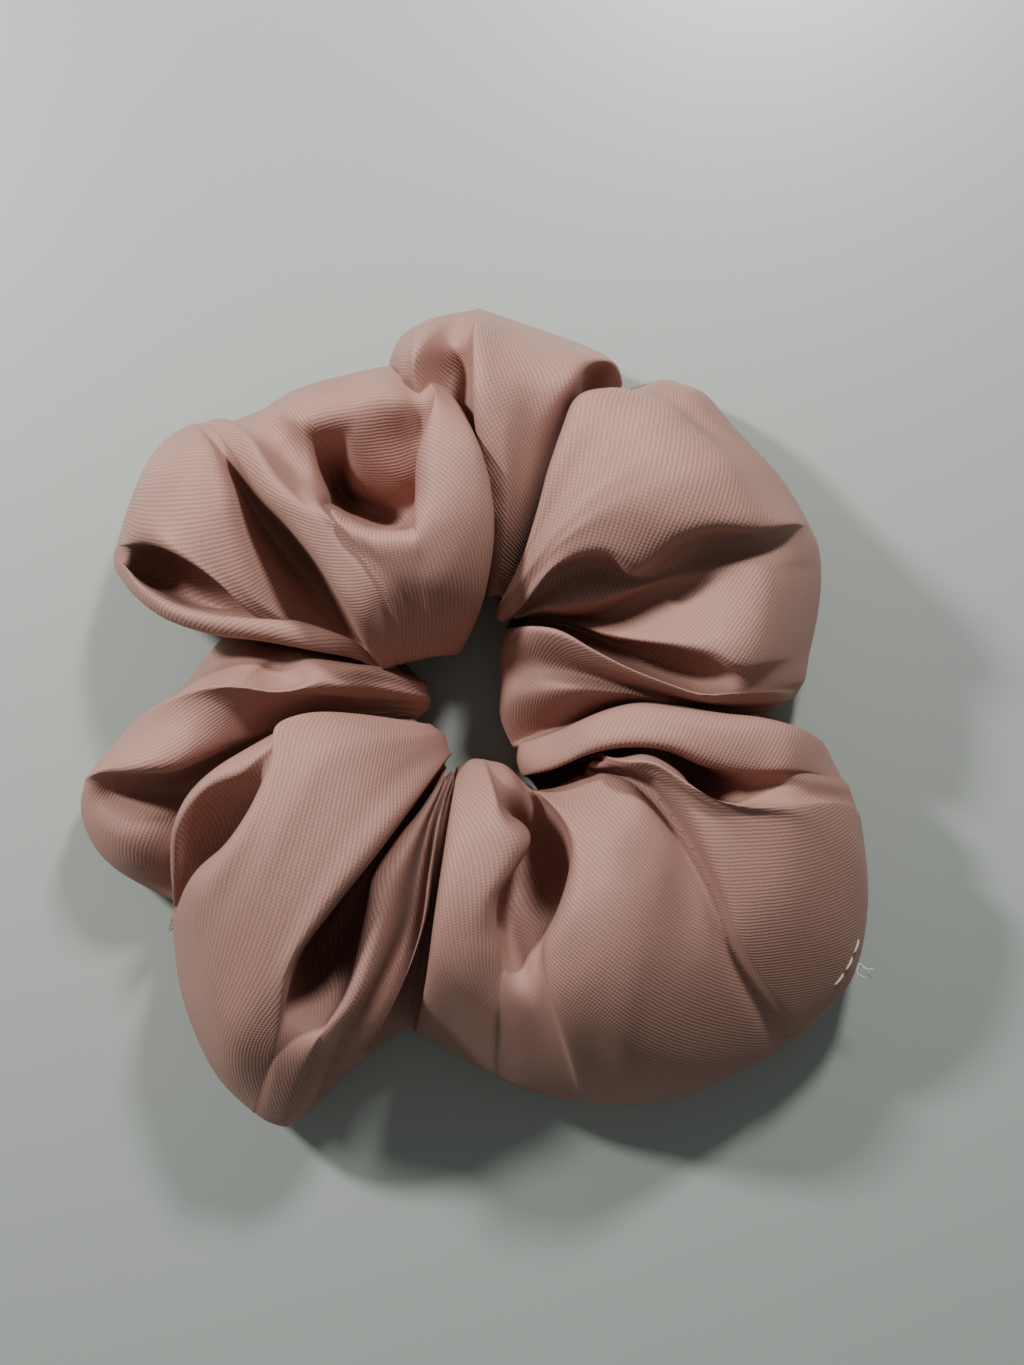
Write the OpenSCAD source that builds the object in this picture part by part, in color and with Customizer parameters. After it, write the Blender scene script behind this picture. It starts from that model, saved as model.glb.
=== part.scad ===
// Gathered satin scrunchie: a sewn fabric tube drawn together on a loop of elastic.
// Millimetres, +Z up. The origin is on the surface that the scrunchie lies on,
// below the middle of the ring. Angles run anticlockwise from +X.
// The cover is one strip of cloth. It is drawn here as stiff segments, one for each
// place where it is gathered tight, so that the ring can open as the elastic stretches.

/* [Cover] */
// Thickness of the cover's wall, a little more than one layer of satin
wall = 0.8; // [0.6:0.1:1.2]
// Height of the tallest puff above the surface
puff_height = 38; // [34:1:42]
// Height of the cover where it is gathered between two puffs
gather_height = 26; // [24:1:30]
// Height of the cover where its two ends are sewn together
seam_height = 22; // [20:1:24]
// Radius of the hole between the puffs
hole_radius = 9.5; // [9:0.5:12]
// Depth of the small pleats, as a share of the cover's half width
pleat_depth = 0.04; // [0:0.01:0.06]
// Width of the raw edges that are turned inside along the long seam
seam_allowance = 6; // [4:0.5:8]

/* [Elastic] */
// Radius of the relaxed loop, to the middle of the elastic's thickness
elastic_radius = 24; // [23:0.5:25]
// Width of the flat elastic, which stands upright in the tube
elastic_width = 6; // [5:0.5:6.5]
// Thickness of the elastic
elastic_thickness = 1.2; // [0.8:0.1:1.4]
// Length over which the elastic's two ends lie on each other
lap_length = 12; // [8:1:16]

/* [Thread] */
// Diameter of the sewing thread
thread = 0.5; // [0.4:0.05:0.6]
// Length of one stitch, from needle hole to needle hole
stitch = 2.7; // [2.2:0.1:3.2]
// Length of the loose ends of thread at the seam's corner
tail_length = 6; // [4:0.5:8]

/* [Hidden] */

satin = [0.72, 0.55, 0.50];
undyed = [0.93, 0.91, 0.87];
pink_thread = [0.80, 0.62, 0.56];

// The places where the cover is gathered, from the cross seam round to the cross seam again.
gather_deg = [-46, 0, 65, 104, 124, 162, 212, 258, 314];
last = len(gather_deg) - 1;
// How far out the cover reaches at each gather, and at the puff after it.
gather_out = [63, 43, 49, 50, 50, 38, 48, 44, 63];
puff_out = [58.2, 54, 57.6, 53, 57, 56.5, 60, 58];
// How high each puff stands, as a share of the tallest one.
puff_share = [0.88, 1, 1, 0.94, 1, 0.9, 0.96, 0.94];
gather_in = 16;
gather_lift = 2.5;
flat_share = 0.06;      // how much of a puff's height the surface presses flat
bulge_power = 0.7;      // under 1 makes the puffs rounder than a sine
pleats = 3;             // small pleats in each puff
joint_gap = 0.3;        // between one stiff segment and the next
steps = 9;              // sections in half a puff
around = 24;            // points around the tube
elastic_z = 9;
fin = 0.8;              // two raw edges together
clear = 0.2;
zigzags = 9;

function mix(a, b, w) = a + (b - a) * w;
function smooth(w) = w * w * (3 - 2 * w);
function crest(k) = (gather_deg[k] + gather_deg[k + 1]) / 2;
// The puff that the angle t is in, and how far through it.
function puff_at(t) = max([for (k = [0 : last - 1]) if (t >= gather_deg[k] - 0.001) k]);
function share_at(t) =
    let (k = puff_at(t))
    min(1, (t - gather_deg[k]) / (gather_deg[k + 1] - gather_deg[k]));
function gather_top(k) = (k == 0 || k == last) ? seam_height : gather_height;

// The cover's section at angle t: its middle and half sizes, as [r, z, half width, half height].
function section(t) =
    let (k = puff_at(t),
         w = share_at(t),
         bulge = pow(max(0, sin(180 * w)), bulge_power),
         top = mix(mix(gather_top(k), gather_top(k + 1), w), puff_height * puff_share[k], bulge),
         low = mix(gather_lift, -flat_share * puff_height, bulge),
         inner = mix(gather_in, hole_radius, bulge),
         outer = mix(mix(gather_out[k], gather_out[k + 1], w), puff_out[k], bulge),
         pleat = 1 + pleat_depth * (cos(360 * pleats * w) - 1) * bulge)
    [(inner + outer) / 2, (top + low) / 2, (outer - inner) / 2 * pleat, (top - low) / 2 * pleat];

// A point of the section, at angle phi round the tube and that far inside its surface.
function on_cover(t, phi, inset) =
    let (s = section(t))
    [s[0] + (s[2] - inset) * cos(phi), max(s[1] + (s[3] - inset) * sin(phi), inset)];
// The same point in space. aside moves it along the ring.
function in_ring(p, t, aside = 0) =
    [p[0] * cos(t) - aside * sin(t), p[0] * sin(t) + aside * cos(t), p[1]];

// A closed skin through rings of points, each ring with the same number of points.
module skin(rings, closed = false) {
    n = len(rings[0]);
    m = len(rings);
    points = [for (ring = rings) each ring];
    spans = closed ? m : m - 1;
    sides = [for (i = [0 : spans - 1], j = [0 : n - 1])
        let (a = i * n + j, b = i * n + (j + 1) % n, i2 = (i + 1) % m,
             c = i2 * n + (j + 1) % n, d = i2 * n + j)
        each [[a, b, c], [a, c, d]]];
    caps = closed ? [] : [[for (j = [n - 1 : -1 : 0]) j], [for (j = [0 : n - 1]) (m - 1) * n + j]];
    polyhedron(points = points, faces = concat(sides, caps), convexity = 10);
}

// Points on a circle across the line from p to q, and the rings of a thread along a path.
function unit(v) = v / norm(v);
function across(p, q, d, sides = 6) =
    let (along = unit(q - p),
         side = unit(cross(along, abs(along[2]) > 0.9 ? [1, 0, 0] : [0, 0, 1])),
         up = cross(side, along))
    [for (j = [0 : sides - 1]) d / 2 * (cos(360 * j / sides) * side + sin(360 * j / sides) * up)];
module thread_along(path, d = thread, closed = false) {
    n = len(path);
    rings = [for (i = [0 : n - 1])
        let (before = closed ? path[(i + n - 1) % n] : path[max(0, i - 1)],
             after = closed ? path[(i + 1) % n] : path[min(n - 1, i + 1)])
        [for (p = across(before, after, d)) path[i] + p]];
    skin(rings, closed);
}

// The angles of a segment's sections: half a puff, the gather, half a puff.
function angles(from, to, n) = [for (i = [0 : n]) mix(from, to, i / n)];
function gather_angles(k) =
    concat(angles(crest(k - 1), gather_deg[k], steps),
           [for (i = [1 : steps]) mix(gather_deg[k], crest(k), i / steps)]);

// One stiff segment of the cover: the tube's wall, open at both ends, and the raw edges inside.
module cover_segment(at) {
    n = len(at);
    function aside(i, gap) = gap * (0.5 - i / (n - 1));
    function loop(i, inset) =
        [for (j = [0 : around - 1])
            in_ring(on_cover(at[i], 360 * j / around, inset), at[i], aside(i, joint_gap))];
    function rim(i) =
        let (t = at[i], s = section(t), out = s[0] + s[2] - wall / 2,
             root = out - seam_allowance)
        [for (p = [[root, s[1] - fin / 2], [root, s[1] + fin / 2],
                   [out, s[1] + fin / 2], [out, s[1] - fin / 2]])
            in_ring(p, t, aside(i, joint_gap + 0.6))];
    outside = [for (i = [0 : n - 1]) loop(i, 0)];
    inside = [for (i = [n - 1 : -1 : 0]) loop(i, wall)];
    color(satin) {
        skin(concat(outside, inside), closed = true);
        skin([for (i = [n - 1 : -1 : 0]) rim(i)]);
    }
}

// The elastic: one strip, bent round so that its ends lap at the first gather.
lap_deg = lap_length / elastic_radius * 180 / PI;
ramp_deg = 20;
lap_at = gather_deg[4];
lap_step = elastic_thickness + 0.1;
function strip_radius(w) =
    elastic_radius + lap_step * smooth(min(1, max(0, (w - (360 - ramp_deg)) / ramp_deg)));
module elastic_band() {
    turn = 360 + lap_deg;
    n = 120;
    function edge(side) = [for (i = [0 : n])
        let (w = turn * i / n, r = strip_radius(w) + side * elastic_thickness / 2,
             t = lap_at - lap_deg / 2 + w)
        [r * cos(t), r * sin(t)]];
    far = edge(1);
    near = edge(-1);
    color(undyed)
        translate([0, 0, elastic_z - elastic_width / 2])
            linear_extrude(height = elastic_width)
                polygon(concat(far, [for (i = [n : -1 : 0]) near[i]]));
}

// Zigzag stitches that hold the elastic's two ends together.
module elastic_join_stitches() {
    r = elastic_radius + lap_step + elastic_thickness / 2;
    color(undyed)
        thread_along([for (i = [0 : zigzags * 2])
            let (t = lap_at + lap_deg * 0.8 * (i / (zigzags * 2) - 0.5),
                 z = elastic_z + elastic_width * 0.35 * (i % 2 == 0 ? 1 : -1))
            [r * cos(t), r * sin(t), z]]);
}

// The thread of the long seam, along the raw edges inside the tube's outer side.
module long_seam_thread() {
    at = [for (k = [0 : last - 1], i = [0 : 2 * steps - 1])
        mix(gather_deg[k], gather_deg[k + 1], i / (2 * steps))];
    color(pink_thread)
        thread_along([for (t = at)
            let (s = section(t), r = s[0] + s[2] - wall - seam_allowance / 3)
            in_ring([r, s[1] + fin / 2 + thread / 2 + clear], t)],
            closed = true);
}

// A straight stitch between two points.
module bar(p, q, d = thread) {
    v = q - p;
    translate(p)
        rotate([0, acos(v[2] / norm(v)), atan2(v[1], v[0])])
            cylinder(h = norm(v), d = d, $fn = 16);
}

// The stitches that show across the top of the cross seam, sunk half into the right end.
module cross_seam_stitches() {
    first = 14;
    count = 16;
    pitch = 9.5;
    t = gather_deg[0];
    side = joint_gap / 2 + thread / 2 + clear;
    color(satin * 0.6)
        for (i = [0 : count - 1])
            bar(in_ring(on_cover(t, first + pitch * i, 0), t, side),
                in_ring(on_cover(t, first + pitch * (i + 0.7), 0), t, side));
}

// The line of stitches that closes the turning gap, beside the cover's outer edge.
module topstitching() {
    phi = 20;
    count = 5;
    pitch = stitch / puff_out[0] * 180 / PI;
    color(pink_thread)
        for (i = [0 : count - 1])
            let (t = -43 + pitch * i)
                bar(in_ring(on_cover(t, phi, 0), t),
                    in_ring(on_cover(t + pitch * 0.8, phi, 0), t + pitch * 0.8));
}

// Loose ends of thread where the topstitching stops.
module loose_thread_ends() {
    t = -33;
    lean = [-3, -0.6, 1.8];
    color(undyed)
        for (k = [0 : 2])
            let (from = on_cover(t, -8, wall / 2))
                thread_along([for (i = [0 : 6])
                    let (w = i / 6)
                    in_ring([from[0] + (wall + 1.2 + 0.5 * k) * w,
                             from[1] + 0.9 * k - tail_length * w * (0.8 - 0.15 * k)],
                            t, 1.1 * k - 1 + lean[k] * w * w)], thread * 0.7);
}

cover_segment(gather_angles(4));  // cover_gather_1
cover_segment(gather_angles(3));  // cover_gather_2
cover_segment(gather_angles(2));  // cover_gather_3
cover_segment(gather_angles(1));  // cover_gather_4
cover_segment(gather_angles(5));  // cover_gather_5
cover_segment(gather_angles(6));  // cover_gather_6
cover_segment(gather_angles(7));  // cover_gather_7
cover_segment(angles(gather_deg[0], crest(0), steps));  // cover_end_right
cover_segment(angles(crest(last - 1), gather_deg[last], steps));  // cover_end_left
elastic_band();
elastic_join_stitches();
long_seam_thread();
cross_seam_stitches();
topstitching();
loose_thread_ends();
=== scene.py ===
import math

import bpy
import numpy as np
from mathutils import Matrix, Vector


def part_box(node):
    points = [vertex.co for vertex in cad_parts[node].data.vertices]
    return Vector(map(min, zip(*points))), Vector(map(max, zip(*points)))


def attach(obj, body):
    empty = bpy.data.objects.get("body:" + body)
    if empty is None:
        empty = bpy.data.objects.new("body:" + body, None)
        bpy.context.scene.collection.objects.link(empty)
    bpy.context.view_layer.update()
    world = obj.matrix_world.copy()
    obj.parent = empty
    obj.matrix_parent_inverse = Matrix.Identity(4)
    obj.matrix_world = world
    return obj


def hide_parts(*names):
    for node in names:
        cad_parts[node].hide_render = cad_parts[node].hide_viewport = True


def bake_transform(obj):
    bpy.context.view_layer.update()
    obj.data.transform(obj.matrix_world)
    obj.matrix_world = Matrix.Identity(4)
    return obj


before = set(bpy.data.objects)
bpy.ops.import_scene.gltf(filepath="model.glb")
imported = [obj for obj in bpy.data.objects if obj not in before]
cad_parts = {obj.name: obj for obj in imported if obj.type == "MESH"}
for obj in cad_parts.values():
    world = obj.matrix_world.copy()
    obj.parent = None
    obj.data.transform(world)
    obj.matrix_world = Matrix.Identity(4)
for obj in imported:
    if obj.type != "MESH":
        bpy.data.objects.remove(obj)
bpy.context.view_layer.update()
MM = 0.001
scene = bpy.context.scene

# ---------------------------------------------------------------- camera
EYE = (5.4, 5.4, 310.0)          # straight above, mm
HALF_VIEW = 18.25                # degrees from the middle to the top of the picture
cam = bpy.data.objects.new("camera", bpy.data.cameras.new("camera"))
scene.collection.objects.link(cam)
cam.location = [c * MM for c in EYE]
cam.data.sensor_width = 36
cam.data.lens = 18 / math.tan(math.radians(HALF_VIEW))
cam.data.clip_start = 0.01
scene.camera = cam

# ---------------------------------------------------------------- the cover
# The cover is drawn as loops of cloth round the elastic, one for every ridge, crease and hollow,
# in the order that they follow each other anticlockwise from the cross seam. Each loop is given by
# its top line, from the hole outwards, as x, y, z in millimetres.
# The first value is "seam" for the cross seam, "gap" for the bottom of a valley between two puffs,
# "lip" where the cloth turns under just after the loop, "brim" where it does so just before it, and
# "ridge" where it does both. The second value says how high the loop's underside lies.
LOOPS = [
    # the cross seam
    ("seam", 1.5, [(16.2, -6.6, 20), (21.9, -7.8, 25), (26.8, -12.9, 27), (30.6, -18.9, 27.8),
                   (33.6, -25, 27.6), (35.6, -31, 26), (39, -37.2, 22), (42.4, -42.2, 16.6), (45, -45.3, 10)]),
    # right lower puff
    ("", 1, [(16.8, -6.2, 22), (23.2, -7, 28), (28.6, -11.4, 30.4), (32.6, -17.8, 30.6), (35.6, -24.2, 29.6),
             (37.8, -30.2, 27.6), (41.2, -36.2, 23), (44.4, -41, 17.4), (47, -43.2, 11)]),
    ("", 1, [(17.4, -5.8, 23.6), (23, -6.8, 30), (31, -11, 31.6), (38.4, -17.6, 30.4), (44.6, -24.6, 27.4),
             (50, -31.4, 20.6), (53.2, -35.8, 12)]),
    ("", 1, [(18, -5.6, 24.4), (21.4, -6.4, 30.6), (26, -6.8, 32.6), (31, -10, 33), (38, -12.6, 31.6),
             (46, -14.6, 28.6), (53.4, -19.6, 20.4), (55.4, -24, 12)]),
    ("lip", 1, [(18, -5.2, 24), (20.4, -5.6, 30.6), (24, -5.4, 33), (28.2, -7.4, 33), (32.8, -10.8, 33),
                (38.6, -11.9, 32), (45, -11.8, 29.4), (52, -11.8, 22), (54.2, -13.4, 12)]),
    ("", 2, [(15.4, -5.4, 15), (19, -5.8, 13), (24, -6.6, 12), (28.6, -7.6, 12), (33, -9.6, 15.6),
             (38, -10.6, 22), (45, -10.4, 24.6), (53, -11, 12)]),
    ("", 2, [(11, -6.2, 15), (15.6, -5.2, 12), (20.6, -4.4, 11), (26, -4.2, 11), (31, -5.8, 13), (35, -8, 18),
             (40, -8.8, 22.6), (46.6, -8.6, 23), (52.6, -9.4, 12)]),
    ("brim", 1, [(7, -7.6, 17), (11.6, -6.6, 23.4), (17, -4.6, 27.4), (22.7, -3.8, 29.4), (28, -4.5, 29.4),
                 (32.6, -6.4, 28), (38, -7, 27), (45, -6.8, 25), (51.4, -7.8, 12)]),
    ("", 1, [(6.4, -5.4, 17), (11.4, -3.4, 22), (16.6, -1.2, 26.6), (22.6, -.4, 28.6), (28, -.8, 29),
             (35, -2, 28.6), (41, -3, 27), (46, -4, 24), (50.4, -5.8, 11)]),
    ("lip", 1, [(6.6, -3.4, 16), (12, -1.4, 21), (17, .8, 25), (22.6, 2.2, 27), (28, 1.9, 27.4), (35, .9, 26.6),
                (41, .2, 25.4), (46, -1.2, 21.6), (49, -3, 11)]),
    ("gap", 3, [(5.6, -3, 12), (12, -.6, 14), (19, .8, 14), (28, .8, 13), (36, .2, 11), (41, .9, 8)]),
    # middle right folds
    ("", 2, [(4, .4, 14), (9, 1.4, 17.4), (15, 2.6, 19.4), (21, 2.8, 19), (28, 2, 16), (35, 1.4, 13),
             (41.6, 1.4, 8.6)]),
    ("", 2, [(4, 4, 16), (8.4, 4.6, 21), (14, 4.8, 24), (20, 4.2, 23), (26, 3, 19), (33, 1.8, 15),
             (42.6, 2, 9)]),
    ("", 2, [(4, 7.6, 16), (8, 7.8, 20), (13, 7, 21), (19, 5.6, 20), (26, 3.8, 19), (32, 2.4, 17.6),
             (38, 2, 15), (43, 2.4, 9.6)]),
    ("", 2, [(4.2, 11, 18), (8, 11.6, 25), (12.4, 10.6, 27), (17, 8.4, 27), (22, 6.2, 27), (27, 4.4, 27),
             (32, 2.8, 26), (37, 2.4, 22.4), (43, 3, 17), (45, 3.4, 10.6)]),
    ("lip", 2, [(5, 13, 19), (8, 13.4, 26), (12.4, 12.9, 29), (17, 10.4, 30), (22, 7.8, 30), (27.4, 5.6, 29.6),
                (32, 4, 28.6), (36, 3.8, 26), (42, 4, 20.6), (45.6, 4.4, 10.6)]),
    ("", 2, [(6.6, 13.8, 13), (12, 13.4, 14), (18, 11.6, 13), (23.6, 9.4, 13), (28.6, 7.6, 15), (32.6, 6, 19),
             (36.4, 5.2, 25), (42, 5.6, 22), (46.4, 6, 11)]),
    ("brim", 1, [(8, 14.6, 14), (13, 14, 17), (17.8, 12.2, 23), (22.7, 11, 27), (28.6, 10, 29.4),
                 (33.6, 8.6, 30.4), (36.2, 7.2, 30), (42, 8.4, 25.4), (47, 9.6, 11)]),
    # upper right puff
    ("", 1, [(8.6, 15, 14), (14, 14.8, 16), (21, 13.8, 21.6), (28.6, 13, 27.4), (35, 12.4, 30), (42, 12.4, 27),
             (48, 14, 11)]),
    ("", 1, [(8.4, 14.8, 15), (13, 14.6, 17), (18, 15, 19), (24, 17, 21.6), (30, 18, 25), (36, 18.4, 28.6),
             (42.6, 18.6, 27), (48.6, 19, 11.6)]),
    ("brim", 1, [(6, 14.4, 20), (9.6, 15.4, 24.6), (13, 15.4, 26.4), (17.4, 16.4, 26.4), (22.4, 18.2, 25.4),
                 (28, 20.2, 25.6), (34, 22, 27.6), (40.6, 22.4, 27.6), (45.4, 22.6, 22), (48.6, 22.4, 11.6)]),
    ("", 1, [(5.6, 14.5, 19), (9, 17.4, 21.6), (12, 20.2, 22.4), (15.6, 21.8, 22.6), (19.4, 21.4, 23.2),
             (23.4, 20.2, 24.6), (28, 22.2, 25.6), (33.6, 24.4, 26.4), (40, 24.6, 26), (45.4, 25.4, 21.6),
             (48.2, 25, 11.6)]),
    ("brim", 1, [(5, 14.3, 20), (8.4, 17.8, 28), (11.2, 21.2, 31.8), (15.4, 22.9, 33), (19.6, 22.7, 33),
                 (22.2, 20.6, 32), (25.2, 21.4, 32), (29.2, 24.9, 34), (33.8, 26.5, 34), (40, 26.6, 32),
                 (45.2, 27.6, 26), (47, 27.6, 12)]),
    ("", 1, [(4.4, 14.2, 20), (8.4, 19.4, 28.8), (13, 24.4, 33.6), (19.6, 27, 35.4), (27, 28.6, 36.4),
             (34, 30, 35.4), (40, 30.6, 31), (45, 31.2, 13)]),
    ("lip", 1, [(4, 14.5, 21), (8, 20.2, 29), (13, 26, 34.4), (20, 31, 36.8), (27.4, 34, 37.2),
                (33.6, 35.6, 35), (37, 36.4, 31), (37.4, 36.2, 25), (39.6, 36.4, 20), (41.8, 35.8, 10.6)]),
    ("lip", 1, [(3.6, 15, 21), (7.4, 21, 29.4), (12.4, 28, 34.4), (18.6, 34, 36.6), (24.6, 38, 36.4),
                (30, 39.8, 34), (32.6, 40.2, 30), (32.6, 39.6, 23), (35, 40.8, 20), (36.6, 41, 10.6)]),
    ("lip", 1, [(3.5, 15.5, 21), (7, 21.8, 29), (11.6, 29.6, 33.4), (16.4, 36, 35.4), (21.4, 41.4, 35),
                (25.6, 44, 32.6), (28, 44.8, 28), (27.8, 44, 22), (30.4, 46, 19.6), (32.4, 46.2, 10.6)]),
    ("brim", 2, [(3.5, 16, 21), (6.4, 22, 28), (8.6, 29, 31.4), (10.4, 36, 33), (12.4, 42, 33),
                 (14.4, 46.4, 31), (18.6, 47.2, 27), (22.4, 46.6, 21), (26, 47.8, 17), (27, 48, 10)]),
    ("gap", 3, [(5.6, 17, 14), (8.6, 22.8, 14), (11.4, 29.8, 15), (13.4, 36.8, 15), (15.2, 42.4, 14),
                (19.6, 46, 10.6)]),
    # top puff
    ("", 2, [(4.8, 17.4, 15), (7.4, 24, 18), (9.6, 31, 20), (11.8, 38, 22), (13.2, 43, 25), (14.6, 46.4, 26.4),
             (16.2, 48.2, 21), (17.6, 48.8, 20), (19.4, 49.6, 22), (20.6, 48.6, 17), (20.9, 47, 10.6)]),
    ("", 2, [(4, 17.8, 17), (6, 24, 22.6), (7.8, 31, 26), (9.8, 39, 28), (12, 45, 29.6), (14, 48.4, 29.6),
             (16, 50.2, 27), (18.4, 51, 23), (19.4, 50.6, 12)]),
    ("", 1, [(3.4, 18, 17.6), (4.8, 24.6, 25), (6, 32, 29), (7.4, 41, 30.6), (9.4, 48.2, 30), (12.4, 52, 24.6),
             (14.6, 53, 12)]),
    ("", 1, [(3, 18, 18), (4, 25, 26), (4.4, 33, 31), (4.2, 42, 33.6), (4.4, 49.6, 31.6), (6.4, 54, 23),
             (7.8, 55.4, 12)]),
    ("lip", 1, [(2, 18, 17), (2.2, 25, 24.6), (1.2, 33, 29), (-.2, 42, 33), (-.5, 47.6, 34), (-.2, 53.6, 31),
                (.6, 57, 22), (1, 57.8, 12)]),
    ("", 2, [(1.4, 18, 15), (.8, 26, 18), (-.8, 34, 18.6), (-2.6, 42, 18), (-3.2, 48, 18), (-3.2, 53, 21),
             (-2, 57.2, 12)]),
    ("", 2, [(.4, 18, 15), (-1, 26, 18), (-3, 34, 21), (-4.6, 41, 22), (-6.2, 47, 24), (-6.8, 52.6, 27),
             (-5.4, 56, 20), (-4.6, 56.8, 11)]),
    ("ridge", 2, [(-.2, 17.4, 14), (-1.8, 25.6, 16), (-4, 34, 20), (-6, 41, 26), (-8.4, 47.2, 29),
                  (-9, 51.4, 28), (-7.8, 55, 22), (-7, 56, 11)]),
    ("", 2, [(-.4, 17, 13), (-1.8, 25.6, 14), (-4.2, 34, 15), (-7.4, 42, 18), (-10.2, 47.2, 20),
             (-11, 51.4, 18), (-10.6, 53.6, 10)]),
    ("gap", 3, [(-.4, 17, 13), (-1.6, 25, 14), (-3.4, 34, 14), (-6.8, 42, 13), (-12, 48, 9)]),
    # the upright panel beside the hollow
    ("", 2, [(-1.6, 10, 16), (1.2, 16, 25), (3, 25, 31), (2.6, 33, 33), (.2, 40.4, 32), (-3.4, 46, 20),
             (-6.6, 48, 12)]),
    ("", 1, [(-4.6, 9.6, 19), (-3.4, 18, 32), (-2.6, 27, 36.6), (-3, 36, 36.6), (-3.8, 43, 33),
             (-5.6, 47.6, 22), (-8, 49, 13)]),
    ("lip", 1, [(-6.2, 9.4, 20), (-6.4, 18, 32.4), (-7.4, 24, 36.2), (-8.2, 28, 37.4), (-8.3, 32, 37.4),
                (-8.2, 36.4, 36.8), (-7, 41.6, 34.4), (-5.4, 46, 29), (-8.4, 49.2, 14)]),
    # down into the hollow and up the cloth behind it
    ("", 2, [(-6.8, 9.3, 20), (-7.4, 18, 32.4), (-8.4, 23.6, 36.2), (-8.9, 26.4, 37), (-8, 28, 33),
             (-6.8, 28.6, 22), (-6.4, 31, 18), (-6.8, 36, 21), (-7.4, 41, 24), (-8.2, 46, 26),
             (-10.4, 49.6, 13)]),
    ("", 3, [(-7.2, 9.2, 20), (-8.4, 18, 32.5), (-10, 24, 36.6), (-10.7, 26.5, 37), (-10.4, 27.2, 34),
             (-9.2, 25.6, 25), (-9.2, 28.6, 13), (-9.4, 32, 20), (-9.6, 39, 24.6), (-9.8, 46, 27.6),
             (-11.8, 49.6, 13)]),
    ("", 3, [(-8, 9, 20), (-9.6, 18, 32.5), (-12.8, 24, 36.6), (-13.7, 26.7, 37), (-13.5, 27.4, 34),
             (-12.4, 25.8, 25), (-12.4, 28.8, 10), (-13, 32.4, 19), (-13.2, 39, 25), (-12.8, 46.6, 28.4),
             (-14.2, 49.4, 14)]),
    ("lip", 3, [(-8.6, 8.9, 20), (-10.4, 17.6, 32.5), (-15.2, 24.8, 36.4), (-16.6, 27.5, 36.6),
                (-16.3, 28.2, 33), (-15.2, 26.8, 25), (-15.8, 30, 9), (-18, 33, 18), (-18.3, 37.6, 24),
                (-16.8, 42, 27), (-16.4, 45.6, 27.4), (-17.4, 48.6, 14)]),
    ("", 3, [(-9, 8.8, 20), (-11, 17.4, 32.5), (-17, 25.6, 36), (-18.6, 28.4, 36), (-18.5, 29.2, 31),
             (-17.6, 28.4, 20), (-17.8, 30.8, 8), (-18.4, 34, 10), (-18.8, 38, 22), (-18.6, 42, 27.4),
             (-19.4, 45.6, 26.4), (-20.4, 48, 13)]),
    ("gap", 3, [(-9.4, 8.7, 20), (-11.6, 17.2, 32.5), (-18, 26.4, 35.6), (-20, 29.2, 35.4), (-20, 30.2, 30),
                (-19.2, 29.8, 19), (-19.2, 32, 8), (-19.8, 35, 14), (-21, 39, 24.6), (-22.8, 42.6, 28),
                (-24.4, 45.2, 24), (-25.4, 46.4, 12)]),
    ("brim", 2, [(-9.8, 8.6, 20), (-12.2, 17, 32.4), (-18.8, 26.9, 35), (-21, 30, 34.8), (-21.2, 31.2, 30),
                 (-20.4, 31.8, 25), (-21, 34.4, 26), (-22.8, 38.6, 26.8), (-25, 41.2, 26.6), (-27.8, 43, 22),
                 (-29.6, 43.6, 12)]),
    ("", 2, [(-10, 8.5, 20), (-12.6, 16.8, 32.2), (-19.4, 26.9, 34.6), (-22.6, 30.6, 34.2), (-23.4, 32.4, 29),
             (-24, 34.6, 24.6), (-26, 38, 23.6), (-28.4, 40.4, 23), (-31, 41.8, 19), (-33, 42.4, 11)]),
    # the long tongue
    ("brim", 1, [(-10.6, 8.4, 20), (-13.4, 16.4, 32), (-20.2, 25.6, 34.8), (-24.4, 31, 34.8),
                 (-27.9, 35.5, 33.6), (-31.2, 40, 29.6), (-34.4, 42.4, 16)]),
    ("", 1, [(-11.6, 7.6, 19), (-15, 13.6, 31), (-20.2, 21.8, 33.8), (-24.6, 27.6, 33.8), (-28.8, 32.8, 32.8),
             (-32, 38.4, 29.4), (-35.8, 42.4, 15)]),
    ("lip", 2, [(-12.6, 7.2, 18), (-15.8, 11, 27), (-19.4, 17.2, 31.8), (-22.6, 22.4, 32.4),
                (-26.6, 27.4, 31.8), (-30.4, 31.8, 30.8), (-33.6, 37.4, 27.4), (-37, 42, 14)]),
    ("", 2, [(-13.4, 8.2, 13), (-16.8, 12, 13), (-20.6, 16.8, 13), (-25, 22, 13), (-29, 27, 17),
             (-32, 31.6, 22), (-35.6, 37.8, 24), (-38.6, 41.6, 13)]),
    # upper left puff
    ("", 1, [(-14.2, 8.8, 14), (-19.4, 11.6, 16), (-24.4, 15, 20), (-29, 21.6, 25), (-31.8, 26.6, 27.6),
             (-34.4, 33, 28.8), (-38, 39.2, 25.6), (-40.4, 41.2, 13)]),
    ("", 1, [(-14.2, 8.8, 15), (-21, 11.6, 19), (-28, 15.6, 25), (-34, 22, 29), (-38.6, 29.6, 30),
             (-42.4, 36, 26), (-44.6, 38.2, 13)]),
    ("", 1, [(-14.2, 8.8, 15), (-21.6, 11.4, 19), (-29.6, 15, 25), (-36, 20.4, 29), (-42, 26, 29.4),
             (-46.4, 30.4, 24), (-48, 31.4, 13)]),
    ("lip", 1, [(-14, 8.6, 15), (-20, 10.8, 18), (-26, 12.6, 21.6), (-31.8, 15.2, 25), (-34.9, 18.5, 28),
                (-39.1, 21.6, 29.4), (-43.7, 23.9, 28.8), (-48, 24.8, 22), (-50, 24.6, 14)]),
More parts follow.
